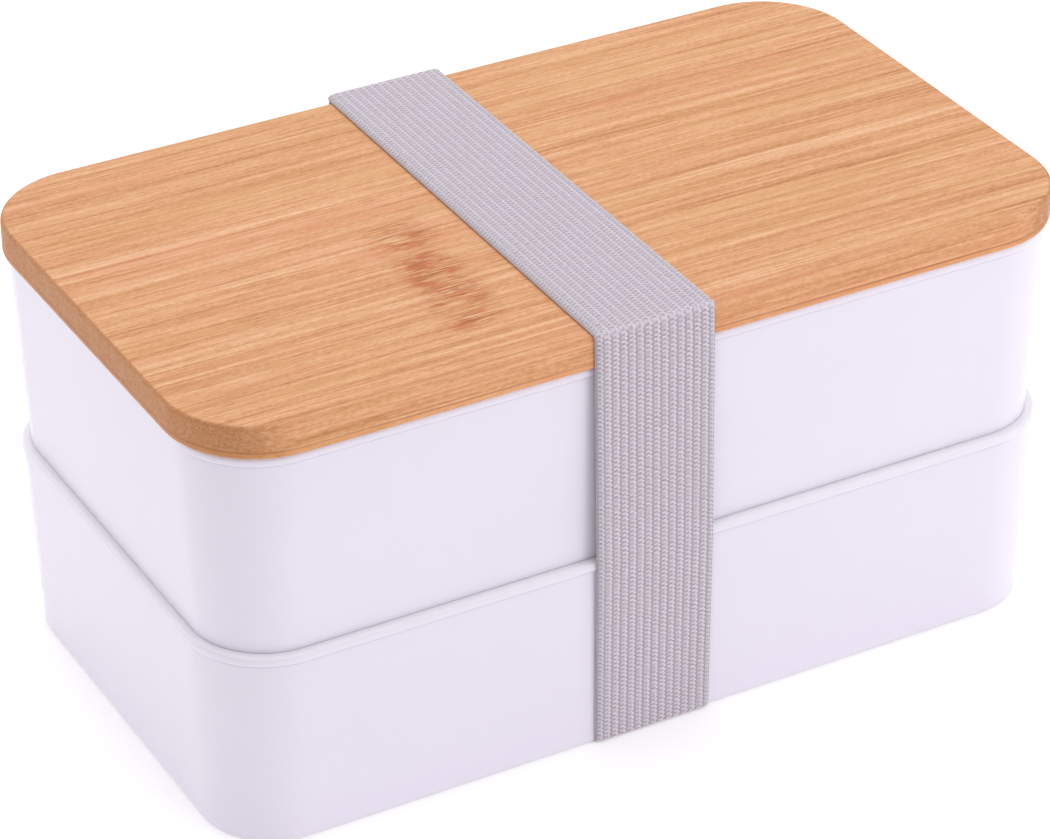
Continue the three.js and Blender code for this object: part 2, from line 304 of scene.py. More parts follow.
# Where a joint of the cane crosses the lid, in millimetres from the middle; how far it reaches to
# either side, and over what distance it fades there; how far it spreads along the fibres; how
# ragged it is; and its slant.
KNUCKLE_X = -30.5
KNUCKLE_Y = -18.0
KNUCKLE_REACH = 23.0
KNUCKLE_FADE = 4.0
KNUCKLE_SPREAD = 8.5
KNUCKLE_RAGGED = 11.0
KNUCKLE_SLANT = 0.08
# The height in millimetres of the line between the two plies that shows on the lid's sides.
PLY_LINE = LID_BASE / MM + 1.3
# A length in millimetres so great that a pattern stretched to it doesn't vary along it.
ENDLESS = 400


def bamboo_grain(shader, fibres):
    """How light the wood is, 0.5 on average, as a sum of fibre patterns."""
    grain = 0.5
    for length, width, strength in FIBRES:
        pattern = shader.noise(shader.stretched(length, width, width, fibres), detail=1)
        swing = shader.maths("MULTIPLY", shader.maths("SUBTRACT", pattern, 0.5), strength)
        grain = shader.maths("ADD", grain, swing)
    return grain


def bamboo_knuckle(shader, colour):
    """One joint of the cane: a ragged band of reddish dashes with fine dark and pale lines."""
    x, y = shader.split(shader.place)[:2]
    aside = shader.maths("SUBTRACT", y, KNUCKLE_Y)
    row = shader.noise(shader.stretched(ENDLESS, 1.6, ENDLESS), detail=2)
    shift = shader.maths("MULTIPLY", shader.maths("SUBTRACT", row, 0.5), KNUCKLE_RAGGED)
    slant = shader.maths("MULTIPLY", aside, KNUCKLE_SLANT)
    middle = shader.maths("ADD", shader.maths("ADD", shift, slant), KNUCKLE_X)
    away = shader.maths("ABSOLUTE", shader.maths("SUBTRACT", x, middle))
    beside = shader.maths("ABSOLUTE", aside)
    zone = shader.maths("MULTIPLY", shader.band(away, KNUCKLE_SPREAD, KNUCKLE_SPREAD / 4),
                        shader.band(beside, KNUCKLE_REACH, KNUCKLE_REACH - KNUCKLE_FADE))
    blotches = shader.noise(shader.stretched(6, 2.0, 2.0), detail=3, roughness=0.6)
    lines = shader.noise(shader.stretched(7, 0.4, 0.4), detail=2)
    layers = [
        (0.4, 1.0, srgb(206, 128, 78)),
        (0.8, shader.band(blotches, 0.45, 0.6), srgb(194, 102, 54)),
        (0.55, shader.band(lines, 0.46, 0.34), srgb(146, 96, 50)),
        (0.55, shader.band(lines, 0.56, 0.66), srgb(248, 208, 146)),
    ]
    for strength, mask, shade in layers:
        share = shader.maths("MULTIPLY", zone, strength)
        colour = shader.mix(shader.maths("MULTIPLY", share, mask), colour, shade)
    return colour


def bamboo_ends(shader, colour):
    """Darker, speckled cut fibres on the ends, with a toothed border to the long faces."""
    facing = shader.maths("ABSOLUTE", shader.split(shader.normal)[0])
    teeth = shader.noise(shader.stretched(ENDLESS, 0.9, ENDLESS), detail=1)
    ragged = shader.maths("ADD", facing, shader.maths("MULTIPLY", teeth, 0.25))
    end_grain = shader.band(ragged, 0.2, 0.75)
    speckle = shader.noise(shader.stretched(2.5, 0.38, 0.38), detail=2)
    cut = shader.ramp(speckle, (0.3, srgb(171, 111, 68)), (0.5, srgb(192, 131, 84)),
                      (0.7, srgb(204, 143, 94)))
    return shader.mix(shader.maths("MULTIPLY", end_grain, 0.9), colour, cut)


def bamboo_plies(shader, colour):
    """A dark glue line round the sides and a more golden ply under it."""
    upright = shader.band(shader.maths("ABSOLUTE", shader.split(shader.normal)[2]), 0.8, 0.4)
    height = shader.maths("SUBTRACT", shader.split(shader.place)[2], PLY_LINE)
    fading = shader.noise(shader.stretched(40, 40, ENDLESS), detail=1)
    golden = shader.maths("MULTIPLY", shader.band(height, 0.05, -0.15), upright)
    line = shader.maths("MULTIPLY", shader.band(shader.maths("ABSOLUTE", height), 0.28, 0.06), upright)
    colour = shader.mix(shader.maths("MULTIPLY", golden, 0.35), colour, srgb(220, 144, 84))
    return shader.mix(shader.maths("MULTIPLY", line, fading), colour, srgb(160, 100, 58))


def bamboo_material():
    shader = Shader("bamboo", Specular_IOR_Level=0.35)
    x, y, z = shader.split(shader.place)[:3]

    # The fibres run along X and wander a little to either side.
    wander = shader.maths("SUBTRACT", shader.noise(shader.stretched(120, 40, 40)), 0.5)
    wandering_y = shader.maths("ADD", y, shader.maths("MULTIPLY", wander, 3.0))
    inputs = {"X": x, "Y": wandering_y, "Z": z}
    fibres = shader.add("ShaderNodeCombineXYZ", inputs).outputs[0]

    grain = bamboo_grain(shader, fibres)
    colour = shader.ramp(grain, (0.2, srgb(188, 122, 74)), (0.5, srgb(225, 163, 114)),
                         (0.8, srgb(247, 200, 156)))
    hue = shader.noise(shader.stretched(90, 5, 5), detail=2)
    colour = shader.mix(shader.maths("MULTIPLY", shader.band(hue, 0.5, 0.7), 0.35), colour,
                        srgb(230, 156, 116))
    colour = shader.mix(shader.maths("MULTIPLY", shader.band(hue, 0.5, 0.3), 0.35), colour,
                        srgb(222, 170, 110))
    colour = bamboo_knuckle(shader, colour)
    colour = bamboo_ends(shader, colour)
    colour = bamboo_plies(shader, colour)
    shader.set(Base_Color=colour, Roughness=shader.band(grain, 1.5, -0.4),
               Normal=shader.bump(grain, 0.08 * MM))
    return shader.material


# How strongly upturned plastic is painted paler, as painted light from above, and how strongly a line
# of painted shade shows under the beads.
UPTURNED_PAINTED_LIGHT = 0.6
UNDER_BEAD_PAINTED_SHADE = 0.3
# How much darker the plastic is where its tint is deepest, and how its roughness varies.
DEEPEST_TINT = 0.965
HANDLING = 0.08


def plastic_material(name, colour, roughness, texture_depth, shaded_heights=()):
    """Moulded plastic: a faint waviness under the gloss, and a texture of `texture_depth`.

    Upturned faces are painted paler as painted light, and a line of painted shade greys the walls at
    each height given.
    """
    shader = Shader(name, Specular_IOR_Level=0.5, Subsurface_Weight=0.3, Subsurface_Scale=0.003)
    shader.set(Subsurface_Radius=(1.0, 0.9, 1.0))
    height = shader.split(shader.place)[2]
    up = shader.split(shader.normal)[2]
    cloud = shader.noise(shader.stretched(45, 45, 30), detail=2)
    deeper = tuple(channel * DEEPEST_TINT for channel in colour[:3]) + (1.0,)
    waves = shader.noise(shader.stretched(14, 14, 10), detail=1)
    grain = shader.noise(shader.stretched(0.4, 0.4, 0.4), detail=2)
    handled = shader.noise(shader.stretched(20, 20, 12), detail=4, roughness=0.65)
    wavy = shader.bump(waves, 0.02 * MM)
    tint = shader.mix(cloud, colour, deeper)
    # Painted light: faces that point up are mixed towards a paler colour, as if lit from above.
    tint = shader.mix(shader.maths("MULTIPLY", shader.band(up, 0.3, 0.9), UPTURNED_PAINTED_LIGHT), tint,
                      srgb(252, 250, 255))
    # Painted shade: a soft greyer line round the walls at each given height, just under a bead.
    for shaded_height in shaded_heights:
        away = shader.maths("ABSOLUTE", shader.maths("SUBTRACT", height, shaded_height / MM))
        tint = shader.mix(shader.maths("MULTIPLY", shader.band(away, 0.4, 0.1), UNDER_BEAD_PAINTED_SHADE), tint,
                          srgb(200, 193, 208))
    swing = shader.maths("MULTIPLY", handled, HANDLING)
    shader.set(Base_Color=tint, Roughness=shader.maths("ADD", roughness - HANDLING / 2, swing),
               Normal=shader.bump(grain, texture_depth, wavy))
    return shader.material


def silicone_material():
    shader = Shader("silicone", Roughness=0.45, Subsurface_Weight=0.3, Subsurface_Scale=0.003)
    dust = shader.noise(shader.stretched(1.2, 1.2, 1.2), detail=3)
    shader.set(Base_Color=shader.mix(dust, srgb(226, 226, 230), srgb(240, 240, 243)),
               Normal=shader.bump(dust, 0.01 * MM))
    return shader.material


def webbing_material():
    """Knitted elastic: painted shade between the stitches, painted highlights on their crests, with
    fine filaments.
    """
    shader = Shader("webbing", Roughness=0.85, Sheen_Weight=0.1, Sheen_Roughness=0.4,
                    Specular_IOR_Level=0.2)
    knit_shading = shader.attribute("knit_shading")
    filaments = shader.noise(shader.stretched(0.12, 0.3, 0.3), detail=3)
    patches = shader.noise(shader.stretched(6, 9, 9), detail=2)
    # Painted light and shade: the knitted face's value runs from painted shade in valleys and pits to
    # painted highlight on the crests.
    colour = shader.ramp(knit_shading, (0.0, srgb(168, 158, 169)), (0.5, srgb(210, 199, 210)),
                         (1.0, srgb(244, 235, 246)))
    colour = shader.mix(shader.maths("MULTIPLY", shader.band(filaments, 0.6, 0.35), 0.45), colour,
                        srgb(160, 150, 162))
    colour = shader.mix(shader.attribute("selvedge"), colour, srgb(250, 254, 251), "MULTIPLY")
    colour = shader.mix(shader.maths("MULTIPLY", patches, 0.25), colour, srgb(196, 188, 186))
    shader.set(Base_Color=colour, Sheen_Tint=srgb(235, 228, 240),
               Normal=shader.bump(filaments, 0.06 * MM))
    return shader.material


def thread_material():
    """Twisted sewing thread: slanting light and dark plies."""
    shader = Shader("thread", Roughness=0.7, Sheen_Weight=0.2)
    plies = shader.add("ShaderNodeTexWave", {"Vector": shader.place, "Scale": 1.6, "Distortion": 0.6},
                       bands_direction="DIAGONAL").outputs["Fac"]
    shader.set(Base_Color=shader.mix(plies, srgb(150, 141, 151), srgb(206, 198, 206)),
               Normal=shader.bump(plies, 0.05 * MM))
    return shader.material


bamboo = bamboo_material()
# Just under each box's bead, where the box plastic gets a line of painted shade.
under_beads = [top(node) - BEAD_HEIGHT for node in ("upper_box", "lower_box")]
box_plastic = plastic_material("box_plastic", srgb(239, 232, 245), 0.24, 0.002 * MM, under_beads)
inner_plastic = plastic_material("inner_plastic", srgb(234, 230, 238), 0.38, 0.02 * MM)
cutlery_plastic = plastic_material("cutlery_plastic", srgb(214, 208, 218), 0.4, 0.012 * MM)
silicone = silicone_material()
webbing = webbing_material()
thread = thread_material()

# ---- Bamboo lid and seals ---------------------------------------------------------------------


def build_lid():
    seal_height = top("lid_seal") - bottom("lid_seal")
    groove_z = LID_BASE - seal_height - 2 * GAP
    tongue = [
        *arc(SKIRT_INSET + LID_UNDER_ROUND, bottom("bamboo_lid") + LID_UNDER_ROUND,
             LID_UNDER_ROUND, -90, 0),
        (SKIRT_INSET, groove_z),
        (GROOVE_INSET, groove_z),
        (GROOVE_INSET, LID_BASE),
    ]
    board = [
        *arc(LID_UNDER_ROUND, LID_BASE + LID_UNDER_ROUND, LID_UNDER_ROUND, -90, 0),
        *arc(LID_ROUND, LID_TOP - LID_ROUND, LID_ROUND, 0, 90),
    ]
    lid = skin("bamboo_lid_board", rings(RIM, tongue) + rings(LID, board))
    place(even_shading(lid), "bamboo_lid", "bamboo_lid", bamboo)


def build_seal(node, body):
    """A silicone ring with two soft lips round its outer face."""
    base_z, top_z = bottom(node), top(node)
    lip = (top_z - base_z) / 4
    profile = [
        (SEAL_INNER_INSET, base_z),
        *arc(SEAL_OUTER_INSET + lip, base_z + lip, lip, -90, 45),
        *arc(SEAL_OUTER_INSET + lip, top_z - lip, lip, -45, 90),
        (SEAL_INNER_INSET, top_z),
    ]
    place(skin(node + "_ring", rings(RIM, profile), closed=True), node, body, silicone)


build_lid()
build_seal("lid_seal", "bamboo_lid")
build_seal("middle_lid_seal", "middle_lid")

# ---- Boxes and middle lid ---------------------------------------------------------------------


def build_box(node, has_ledge):
    """A drafted box: foot, wall, proud bead round the rim, and a rounded inside.

    The lower box has a ledge inside its rim, and the upper one settles down onto that rim.
    """
    base_z = bottom(node) if has_ledge else bottom(node) - SETTLED
    top_z = top(node)
    height = top_z - base_z
    floor_z = base_z + FOOT_DEPTH + FLOOR
    bead_z = top_z - BEAD_HEIGHT
    under_bead = DRAFT + (BEAD_STEP - DRAFT) * (height - BEAD_HEIGHT) / height
    foot_inset = DRAFT + FOOT_WIDTH
    ledge = [
        *arc(WALL - LEDGE_WIDTH - EDGE_ROUND / 2, top_z - EDGE_ROUND / 2, EDGE_ROUND / 2, 90, 180),
        (WALL - LEDGE_WIDTH, top_z - LEDGE_DEPTH),
        *arc(WALL - EDGE_ROUND / 2, top_z - LEDGE_DEPTH - EDGE_ROUND / 2, EDGE_ROUND / 2, 90, 180),
    ]
    plain = arc(WALL - BEAD_STEP, top_z - BEAD_STEP, BEAD_STEP, 90, 180)
    profile = [
        (foot_inset + FOOT_DEPTH, base_z + FOOT_DEPTH),
        (foot_inset, base_z),
        *arc(DRAFT + SOLE_ROUND, base_z + SOLE_ROUND, SOLE_ROUND, -90, 0),
        (under_bead, bead_z),
        *arc(BEAD_SWELL, bead_z + BEAD_SWELL, BEAD_SWELL, -45, 0),
        *arc(BEAD_ROUND, top_z - BEAD_ROUND, BEAD_ROUND, 0, 90),
        *(ledge if has_ledge else plain),
        *arc(DRAFT + WALL + FLOOR_ROUND, floor_z + FLOOR_ROUND, FLOOR_ROUND, 0, -90),
    ]
    place(even_shading(skin(node + "_shell", rings(RIM, profile))), node, node, box_plastic)


def build_middle_lid():
    flange_top = top("middle_lid")
    flange_base = flange_top - FLANGE
    base_z = bottom("middle_lid")
    floor_z = base_z + TUB_WALL
    groove_z = bottom("middle_lid_seal") - GAP
    flange_inset = WALL - LEDGE_WIDTH + SETTLED
    tub_inset = GROOVE_INSET + TUB_WALL
    profile = [
        *arc(SKIRT_INSET + TUB_ROUND, base_z + TUB_ROUND, TUB_ROUND, -90, 0),
        (SKIRT_INSET, groove_z),
        (GROOVE_INSET, groove_z),
        (GROOVE_INSET, flange_base),
        (flange_inset, flange_base),
        *arc(flange_inset + EDGE_ROUND, flange_top - EDGE_ROUND, EDGE_ROUND, 0, 90),
        *arc(tub_inset - EDGE_ROUND, flange_top - EDGE_ROUND, EDGE_ROUND, 90, 180),
        *arc(tub_inset + TUB_ROUND, floor_z + TUB_ROUND, TUB_ROUND, 0, -90),
    ]
    lid = skin("middle_lid_tray", rings(RIM, profile))
    place(even_shading(lid), "middle_lid", "middle_lid", inner_plastic)


build_box("upper_box", has_ledge=False)
build_box("lower_box", has_ledge=True)
build_middle_lid()

# ---- Divider ----------------------------------------------------------------------------------

PLATE_ROUND = 0.5 * MM
DIVIDER_ROUND = 6.0 * MM
NOTCH_RADIUS = 14.0 * MM
NOTCH_DEPTH = 5.0 * MM


def upright_arc(x, middle_y, middle_z, radius, start, turn):
    """Points round part of a circle that faces along X, from an angle through a turn."""
    angles = [start + turn * step / CORNER_STEPS for step in range(CORNER_STEPS + 1)]
    return [(x, middle_y + radius * math.cos(a), middle_z + radius * math.sin(a)) for a in angles]


def divider_outline(x, inset):
    """The divider's edge at one depth of its thickness, counter-clockwise seen from +X."""
    low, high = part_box("upper_divider")
    top_half, top_z = high.y - inset, high.z - inset
    round_y = top_half - DRAFT - DIVIDER_ROUND
    round_z = low.z + inset + DIVIDER_ROUND
    notch_z = high.z + NOTCH_RADIUS - NOTCH_DEPTH
    notch_radius = NOTCH_RADIUS + inset
    notch_angle = math.asin((notch_z - top_z) / notch_radius)
    quarter = math.pi / 2
    return [
        *upright_arc(x, round_y, round_z, DIVIDER_ROUND, -quarter, quarter),
        (x, top_half, top_z),
        *upright_arc(x, 0, notch_z, notch_radius, -notch_angle, 2 * notch_angle - math.pi),
        (x, -top_half, top_z),
        *upright_arc(x, -round_y, round_z, DIVIDER_ROUND, math.pi, quarter),
    ]


def build_divider():
    low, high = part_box("upper_divider")
    levels = []
    for side, middle_x in ((-1, low.x + PLATE_ROUND), (1, high.x - PLATE_ROUND)):
        for step in range(ARC_STEPS + 1):
            part = step / ARC_STEPS if side > 0 else 1 - step / ARC_STEPS
            angle = part * math.pi / 2
            inset = PLATE_ROUND * (1 - math.cos(angle))
            levels.append(divider_outline(middle_x + side * PLATE_ROUND * math.sin(angle), inset))
    plate = skin("upper_divider_plate", levels)
    place(even_shading(plate), "upper_divider", "upper_divider", inner_plastic)


build_divider()

# ---- Cutlery ----------------------------------------------------------------------------------

HANDLE_HALF = 5.5 * MM
NECK_HALF = 3.0 * MM
CUTLERY_THICK = 2.0 * MM
# The handle's rounded end, as a share of the length.
HANDLE_ROUND = 0.05
# How boxy a section is, from 1 for an ellipse down to 0 for a rectangle.
SECTION_POWER = 0.6
SECTION_POINTS = 32

# The fork's slots and the knife's teeth, which stand where its blade is at least TOOTHED full.
SLOT_HALF = 1.3 * MM
TINE_PITCH = 5.6 * MM
SLOT_START_X = 40.0 * MM
CUT_MARGIN = 2.0 * MM
TOOTH_PITCH = 1.5 * MM
TOOTH_DEPTH = 0.4 * MM
TOOTHED = 0.7

# Each utensil's head: its middle and reach as shares of the length, how square and how deeply
# dished it is, the share of its thickness left along its lower edge, and how many sections.
UTENSILS = {
    "spoon": {"middle": 0.84, "reach": 0.16, "power": 2, "dish": 4 * MM, "edge": 1, "sections": 110},
    "fork": {"middle": 0.84, "reach": 0.16, "power": 3.4, "dish": 3 * MM, "edge": 1, "sections": 110},
    "knife": {"middle": 0.72, "reach": 0.28, "power": 3, "dish": 0, "edge": 0.4, "sections": 420},
}


def fullness(along, middle, reach, power):
    """How full a rounded end is, from 0 at its limits to 1 in its middle."""
    away = min(abs(along - middle) / reach, 1)
    return (1 - away ** power) ** (1 / power)


def signed_power(value, power):
    return math.copysign(abs(value) ** power, value)


def utensil_section(node, along, middle, reach, power, dish, edge):
    """One rounded section across a utensil, `along` its length from 0 at the handle to 1."""
    low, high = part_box(node)
    x = low.x + along * (high.x - low.x)
    middle_y = (low.y + high.y) / 2
    handle_end = fullness(min(along, HANDLE_ROUND), HANDLE_ROUND, HANDLE_ROUND, 2)
    handle_half = (HANDLE_HALF + (NECK_HALF - HANDLE_HALF) * along) * handle_end
    head = fullness(along, middle, reach, power)
    half = max(handle_half, (high.y - low.y) / 2 * head, SMALLEST_CORNER)
    rest_z = bottom("middle_lid") + TUB_WALL + GAP
    middle_z = rest_z + CUTLERY_THICK / 2 + dish * smooth(along * 2)
    bowl = dish * fullness(along, middle, reach, 2) ** 2
    teeth = TOOTH_DEPTH * abs(math.sin(math.pi * x / TOOTH_PITCH)) * (edge < 1) * (head > TOOTHED)
    points = []
    for step in range(SECTION_POINTS):
        angle = 2 * math.pi * step / SECTION_POINTS
        across = signed_power(math.cos(angle), SECTION_POWER)
        up = signed_power(math.sin(angle), SECTION_POWER)
        thinning = 1 + (edge - 1) * head * max(-across, 0)
        y = middle_y + across * half + teeth * smooth(-across * 4 - 3)
        z = middle_z - bowl * (1 - across ** 2) + up * CUTLERY_THICK * thinning / 2
        points.append((x, y, z))
    return points


def cut(piece, cutter):
    """Cuts one closed mesh out of another, and drops the cutter."""
    modifier = piece.modifiers.new("cut", "BOOLEAN")
    modifier.object = cutter
    modifier.solver = "EXACT"
    graph = bpy.context.evaluated_depsgraph_get()
    result = bpy.data.meshes.new_from_object(piece.evaluated_get(graph))
    piece.modifiers.clear()
    piece.data = result
    bpy.data.objects.remove(cutter)


def slot_cutter(middle_y, low_z, high_z):
    """A round-ended bar along X that parts two tines."""
    outline_points = []
    for step in range(ARC_STEPS * 2 + 1):
        angle = math.pi / 2 + math.pi * step / (ARC_STEPS * 2)
        outline_points.append((SLOT_START_X + SLOT_HALF * math.cos(angle),
                               middle_y + SLOT_HALF * math.sin(angle)))
    end_x = 2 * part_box("fork")[1].x
    outline_points += [(end_x, middle_y - SLOT_HALF), (end_x, middle_y + SLOT_HALF)]
    return skin("slot", [[(x, y, z) for x, y in outline_points] for z in (low_z, high_z)])


def build_utensil(node, sections, **head):
    """A moulded utensil over sections that lie closest together at its two ends."""
    levels = []
    for step in range(sections + 1):
        along = (1 - math.cos(math.pi * step / sections)) / 2
        levels.append(utensil_section(node, along, **head))
    piece = skin(node + "_moulding", levels)
    if node == "fork":
        low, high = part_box(node)
        for tine_gap in (-1, 0, 1):
            middle_y = (low.y + high.y) / 2 + tine_gap * TINE_PITCH
            cut(piece, slot_cutter(middle_y, low.z - CUT_MARGIN, high.z + CUT_MARGIN))
    place(piece, node, node, cutlery_plastic)


for utensil_name, utensil_shape in UTENSILS.items():
    build_utensil(utensil_name, **utensil_shape)

# ---- Elastic band -----------------------------------------------------------------------------

BAND_WIDTH = 24.8 * MM
BAND_X = -3.45 * MM
BAND_THICK = 1.0 * MM
# How far the band leans to the right down the front, and how far it is askew over the lid.
BAND_LEAN = 1.75 * MM
BAND_SKEW = 0.4 * MM
# The sewn lap on the rear: its length, its lower end, and how gently it climbs over the start.
LAP_LENGTH = 15 * MM
LAP_LOW_Z = 14.5 * MM
LAP_RAMP = 5 * MM
# How tightly the band bends over the lower rim.
RIM_BEND = 0.5 * MM

# The knit: ribs between two selvedges, and stitches along them.
RIBS = 13
EDGE_RIB = 1.3 * MM
ALL_RIBS = RIBS + 2
STITCH = 0.955 * MM
RIB_SAMPLES = 10
STITCH_SAMPLES = 6
# How high the ribs and their loops stand, and how suddenly height and tone drop to the valleys.
RIB_RELIEF = 0.1 * MM
LOOP_RELIEF = 0.06 * MM
RIB_POWER = 3
VALLEY_POWER = 4
# How high the smooth fold over the lid's edges stands, and how thick the webbing is at most.
FOLD_RELIEF = RIB_RELIEF + 2.5 * LOOP_RELIEF
TALLEST = BAND_THICK + 4 * LOOP_RELIEF
# How far the loops stand out along the right edge, and the share of that on the left.
PICOT = 0.16 * MM
LEFT_PICOT = 0.5
# Across a rib, which runs from -1 to 1: two columns of loops, a little of their swing everywhere,
# and steady ridges and pits. Each is a hump with a strength, a middle and a half width.
LOOP_COLUMNS = [(1.2, -0.3, 0.38), (1.5, 0.65, 0.28)]
LOOPS_EVERYWHERE = 0.1
RIDGES = [(0.3, -0.6, 0.2), (-0.5, -0.15, 0.3), (2.1, 0.3, 0.28)]
# Where in a rib the slanting strand starts, and how far across it reaches.
STRAND_START = 0.05
STRAND_REACH = 0.6
# How far the loops, the ridges and the valleys between ribs are from a mid tone, as painted highlight
# and painted shade.
LOOP_SHADING = 0.36
RIDGE_SHADING = 0.16
VALLEY_SHADE = 0.58
# How uneven the loops are in place, in stitches, and in strength.
UNEVEN_PLACE = 0.03
UNEVEN_STRENGTH = 0.3
# The least and the most that a rib's stitches lag behind those of the rib before, in stitches.
LAG = (-0.05, 0.19)
KNIT_SEED = 7
# The painted tone of the plain backing and the edges, a little below the mid tone as painted shade.
BACKING_AND_EDGE_SHADE = 0.4
# How much of the ribbing is left where the webbing is stretched flat over the lid.
TOP_RIBS = 0.4
# How much thinner the selvedges are at their very edge.
EDGE_DROP = 0.45 * MM
# The fold over the lid's edges: the inner radius, how nearly the outer face comes to a sharp
# corner, how wide the smooth fold and its line of dashes are as shares of the turn, where in a
# rib the dashes lie, and how dark the gaps between them are.
CREASE_ROUND = 0.5 * MM
CREASE_SHARP = 0.85
FOLD_WIDTH = 0.6
DASHES_WIDTH = 0.13
DASH_PLACE = 0.3
DASHES_DARKEST = 0.45

BEND_STEPS = 12
PATH_SAMPLES = 40001
ROW_SAMPLES = 20001


def taut_loop(discs):
    """A closed path stretched round discs (y, z, radius), listed counter-clockwise.

    Returns its length and a function that gives the place and outward direction at a distance.
    """
    headings = []
    for (from_y, from_z, from_r), (to_y, to_z, to_r) in zip(discs, discs[1:] + discs[:1]):
        span = math.hypot(to_y - from_y, to_z - from_z)
        heading = math.atan2(to_z - from_z, to_y - from_y)
        headings.append(heading - math.pi / 2 + math.asin((from_r - to_r) / span))
    path = []
    for i, (y, z, radius) in enumerate(discs):
        turn = (headings[i] - headings[i - 1]) % (2 * math.pi)
        for step in range(BEND_STEPS + 1):
            angle = headings[i - 1] + turn * step / BEND_STEPS
            out_y, out_z = math.cos(angle), math.sin(angle)
            path.append((y + radius * out_y, z + radius * out_z, out_y, out_z))
    path.append(path[0])
    path = np.array(path)
    distance = np.r_[0, np.cumsum(np.hypot(*np.diff(path[:, :2], axis=0).T))]
    total = distance[-1]
    fine = np.linspace(0, total, PATH_SAMPLES)
    fine_y, fine_z = (np.interp(fine, distance, path[:, k]) for k in (0, 1))
    # Distances count from the lower end of the lap, on the rear.
    start = fine[np.argmin(np.where(fine_y > 0, np.abs(fine_z - LAP_LOW_Z), 1))]

    def at(travelled):
        wrapped = (start + travelled) % total
        return [np.interp(wrapped, distance, path[:, k]) for k in range(4)]

    return total, at


def stack_discs():
    """What the band is stretched round: the base's corners, the lower rim and the lid's edges."""
    base = (RIM[1] / 2 - DRAFT - BASE_ROUND, bottom("lower_box") + BASE_ROUND, BASE_ROUND)
    rim = (RIM[1] / 2 - RIM_BEND, top("lower_box") - BEAD_HEIGHT / 2, RIM_BEND)
    edge = (LID[1] / 2 - LID_UNDER_ROUND, LID_BASE + LID_UNDER_ROUND, LID_UNDER_ROUND)
    crown = (LID[1] / 2 - CREASE_ROUND, LID_TOP - CREASE_ROUND, CREASE_ROUND)
    rear = [base, rim, edge, crown]
    return rear + [(-y, z, radius) for y, z, radius in reversed(rear)]


BAND_LENGTH, band_at = taut_loop(stack_discs())


def band_columns():
    """Across the band: places in from its left edge, where each lies in its rib, and which rib.

    A rib runs from -1 to 1. The first and the last rib, a little narrower, are the selvedges.
    """
    widths = [EDGE_RIB] + [(BAND_WIDTH - 2 * EDGE_RIB) / RIBS] * RIBS + [EDGE_RIB]
    starts = np.cumsum([0] + widths[:-1])
    parts = np.arange(RIB_SAMPLES) / RIB_SAMPLES
    across = np.concatenate([start + width * parts for start, width in zip(starts, widths)])
    in_rib = np.tile(2 * parts - 1, ALL_RIBS)
    rib_number = np.repeat(np.arange(ALL_RIBS), RIB_SAMPLES)
    return np.r_[across, BAND_WIDTH], np.r_[in_rib, 1], np.r_[rib_number, ALL_RIBS - 1]


def band_place(across, travelled, offset):
    """Points of the band: across from its left edge, along its strip, and off the stack."""
    y, z, out_y, out_z = band_at(travelled)
    y, z = y + out_y * offset, z + out_z * offset
    up, back = z / LID_TOP, y / LID[1]
    shift = BAND_LEAN * (1 - up) * (0.5 - back) + BAND_SKEW * up * back
    x = BAND_X - BAND_WIDTH / 2 + across + shift
    return np.stack(np.broadcast_arrays(x, y, z), axis=-1)


def lap_lift(travelled):
    """How far the strip's end rides up over its start."""
    return BAND_THICK * smooth((travelled - BAND_LENGTH + LAP_RAMP) / LAP_RAMP)


def hump(value, middle, half_width):
    """A bell curve, 1 in its middle."""
    return np.exp(-((value - middle) / half_width) ** 2)


def humps(value, parts):
    return sum(strength * hump(value, middle, half_width) for strength, middle, half_width in parts)


def band_rows(strip):
    """Rows of the webbing, evenly spaced on its outer face: each one's place and its stitch."""
    fine = np.linspace(0, strip, ROW_SAMPLES)
    y, z, out_y, out_z = band_at(fine)
    steps = np.hypot(np.diff(y + out_y * BAND_THICK), np.diff(z + out_z * BAND_THICK))
    outside = np.r_[0, np.cumsum(steps)]
    rows = np.arange(0, outside[-1], STITCH / STITCH_SAMPLES)
    return np.interp(rows, outside, fine)[:, None], rows[:, None] / STITCH


